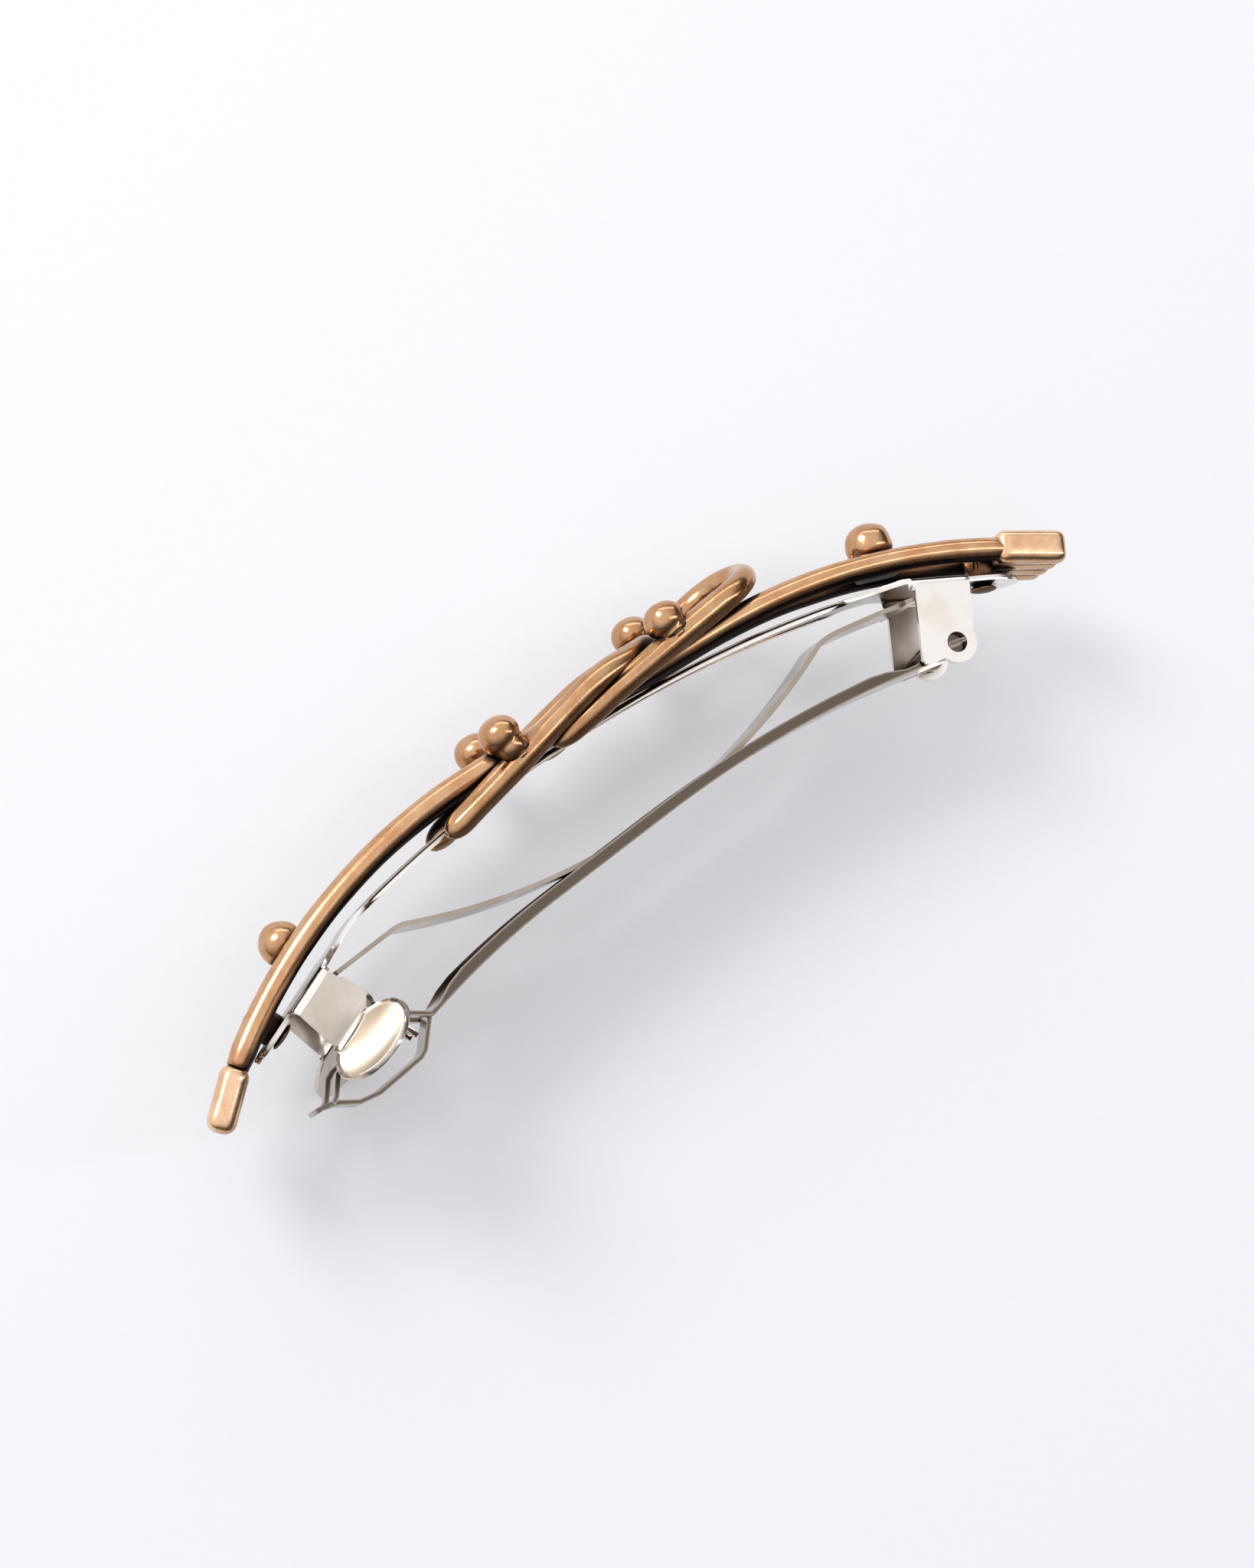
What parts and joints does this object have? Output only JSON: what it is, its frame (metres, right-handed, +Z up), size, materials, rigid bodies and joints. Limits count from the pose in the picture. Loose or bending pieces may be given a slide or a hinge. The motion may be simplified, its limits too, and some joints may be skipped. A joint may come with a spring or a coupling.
{
  "type": "barrette",
  "caption": "Long narrow hair barrette: a copper ornament of rails, knotted loops and beads on a sprung steel clip with a hinged clasp arm and squeeze latch.",
  "frame": {"origin": "centre of the bounding box's base, under the barrette as it lies on its side", "axes": "+X along the clip from the latch end to the hinge end; +Y from the clasp arm towards the ornament; +Z up, along the clip's width and the hinge axis"},
  "size_m": [0.0928, 0.024, 0.0222],
  "materials": {
    "nickel_steel": "bright nickel-plated spring steel sheet with fine rolling lines",
    "aged_copper": "polished copper with dark oxide left in the recesses"
  },
  "bodies": {
    "clip": {"base_plate": "nickel_steel", "tension_spring": "nickel_steel", "rail_near": "aged_copper", "rail_far": "aged_copper", "knot_loop_low": "aged_copper", "knot_loop_high": "aged_copper", "bead_left": "aged_copper", "bead_right": "aged_copper", "bead_near_left": "aged_copper", "bead_near_right": "aged_copper", "bead_far_left": "aged_copper", "bead_far_right": "aged_copper", "left_end_bar_1": "aged_copper", "left_end_bar_2": "aged_copper", "left_end_bar_3": "aged_copper", "left_end_bar_4": "aged_copper", "right_end_bar_1": "aged_copper", "right_end_bar_2": "aged_copper", "right_end_bar_3": "aged_copper", "right_end_bar_4": "aged_copper", "rivet_stud_left": "aged_copper", "rivet_stud_right": "aged_copper"},
    "arm": {"clasp_arm": "nickel_steel"},
    "tab_near": {"press_tab_near": "nickel_steel"},
    "tab_far": {"press_tab_far": "nickel_steel"}
  },
  "joints": [
    {"name": "arm_hinge", "type": "hinge", "parent": "clip", "child": "arm", "pos_m": [0.03172, -0.00529, 0.01112], "axis": [0, 0, 1], "range_deg": [0, 80]},
    {"name": "near_tab_squeeze", "type": "hinge", "parent": "clip", "child": "tab_near", "pos_m": [-0.0312, -0.0012, 0.01512], "axis": [0.9063, 0.4226, 0], "range_deg": [0, 4.5], "stiffness_Nm_per_rad": 0.4},
    {"name": "far_tab_squeeze", "type": "hinge", "parent": "clip", "child": "tab_far", "pos_m": [-0.0312, -0.0012, 0.00712], "axis": [-0.9063, -0.4226, 0], "range_deg": [0, 4.5], "stiffness_Nm_per_rad": 0.4}
  ],
  "couplings": [
    {"joint": "far_tab_squeeze", "follows": "near_tab_squeeze", "ratio": 1}
  ]
}
